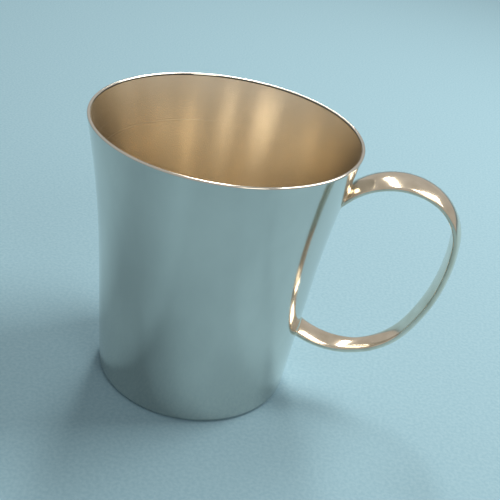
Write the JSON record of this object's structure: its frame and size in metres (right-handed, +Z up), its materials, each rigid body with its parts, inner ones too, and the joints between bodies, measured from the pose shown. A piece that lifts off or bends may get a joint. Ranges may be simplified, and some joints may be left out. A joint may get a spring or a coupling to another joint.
{
  "type": "deep drawn metal cup",
  "caption": "Flared drinking cup drawn from one piece of sheet metal, with a flat base, a rounded lip and a soldered ribbon handle for the fingers.",
  "frame": {"origin": "centre of the underside of the cup, on the surface it stands on", "axes": "+Z up along the axis of the cup, +X towards the handle, which lies in the XZ plane"},
  "size_m": [0.1132, 0.08, 0.0862],
  "materials": {
    "cup_metal": "polished outside, fine spun satin inside",
    "handle_metal": "polished"
  },
  "bodies": {
    "root": {"cup_body": "cup_metal", "handle": "handle_metal"}
  },
  "joints": []
}
